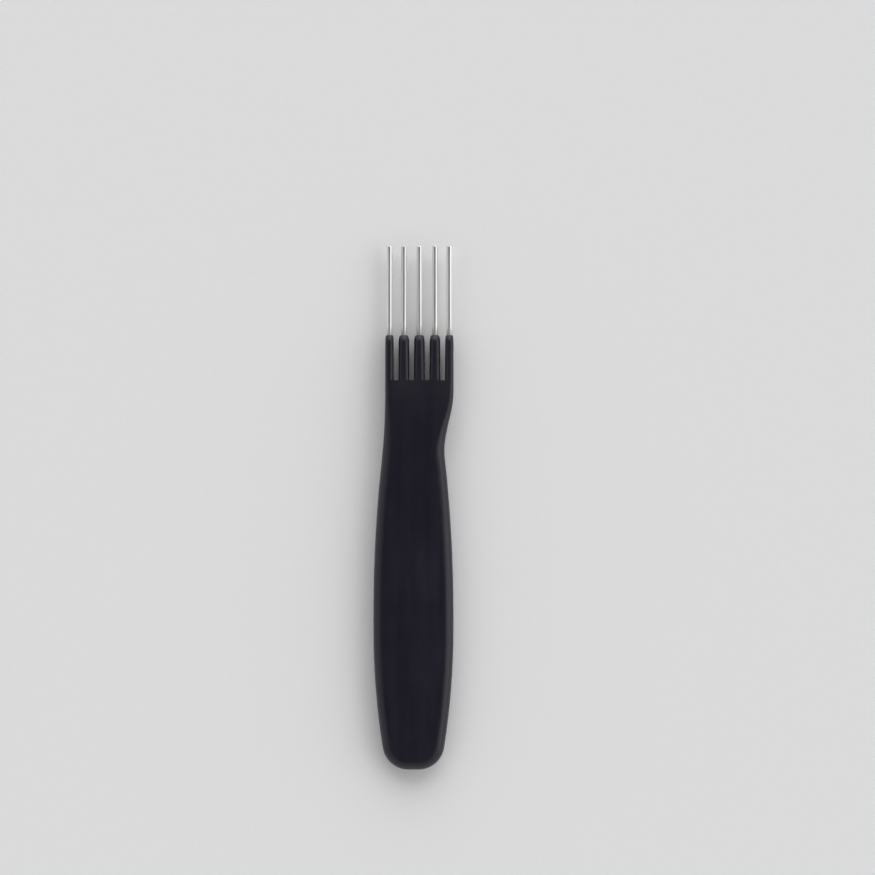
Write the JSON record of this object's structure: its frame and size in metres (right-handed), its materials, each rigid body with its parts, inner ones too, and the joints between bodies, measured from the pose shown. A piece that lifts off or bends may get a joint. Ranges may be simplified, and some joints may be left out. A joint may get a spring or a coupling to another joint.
{
  "type": "afro pick",
  "caption": "Rake-style afro pick: a waisted black plastic handle ending in a row of fingers, each holding a straight round metal tine, for lifting and detangling hair",
  "frame": {"origin": "on the flat back of the handle, under the middle of the grip's widest stretch", "axes": "+Y along the pick towards the tips of the tines, +Z out of the front face, +X to the right seen from the front; the pick lies on its back"},
  "size_m": [0.031, 0.2029, 0.01],
  "materials": {
    "black_plastic": "satin moulded plastic, bluish black",
    "plated_steel": "bright nickel-plated drawn steel wire"
  },
  "bodies": {
    "root": {"handle": "black_plastic", "tine_1": "plated_steel", "tine_2": "plated_steel", "tine_3": "plated_steel", "tine_4": "plated_steel", "tine_5": "plated_steel"}
  },
  "joints": []
}
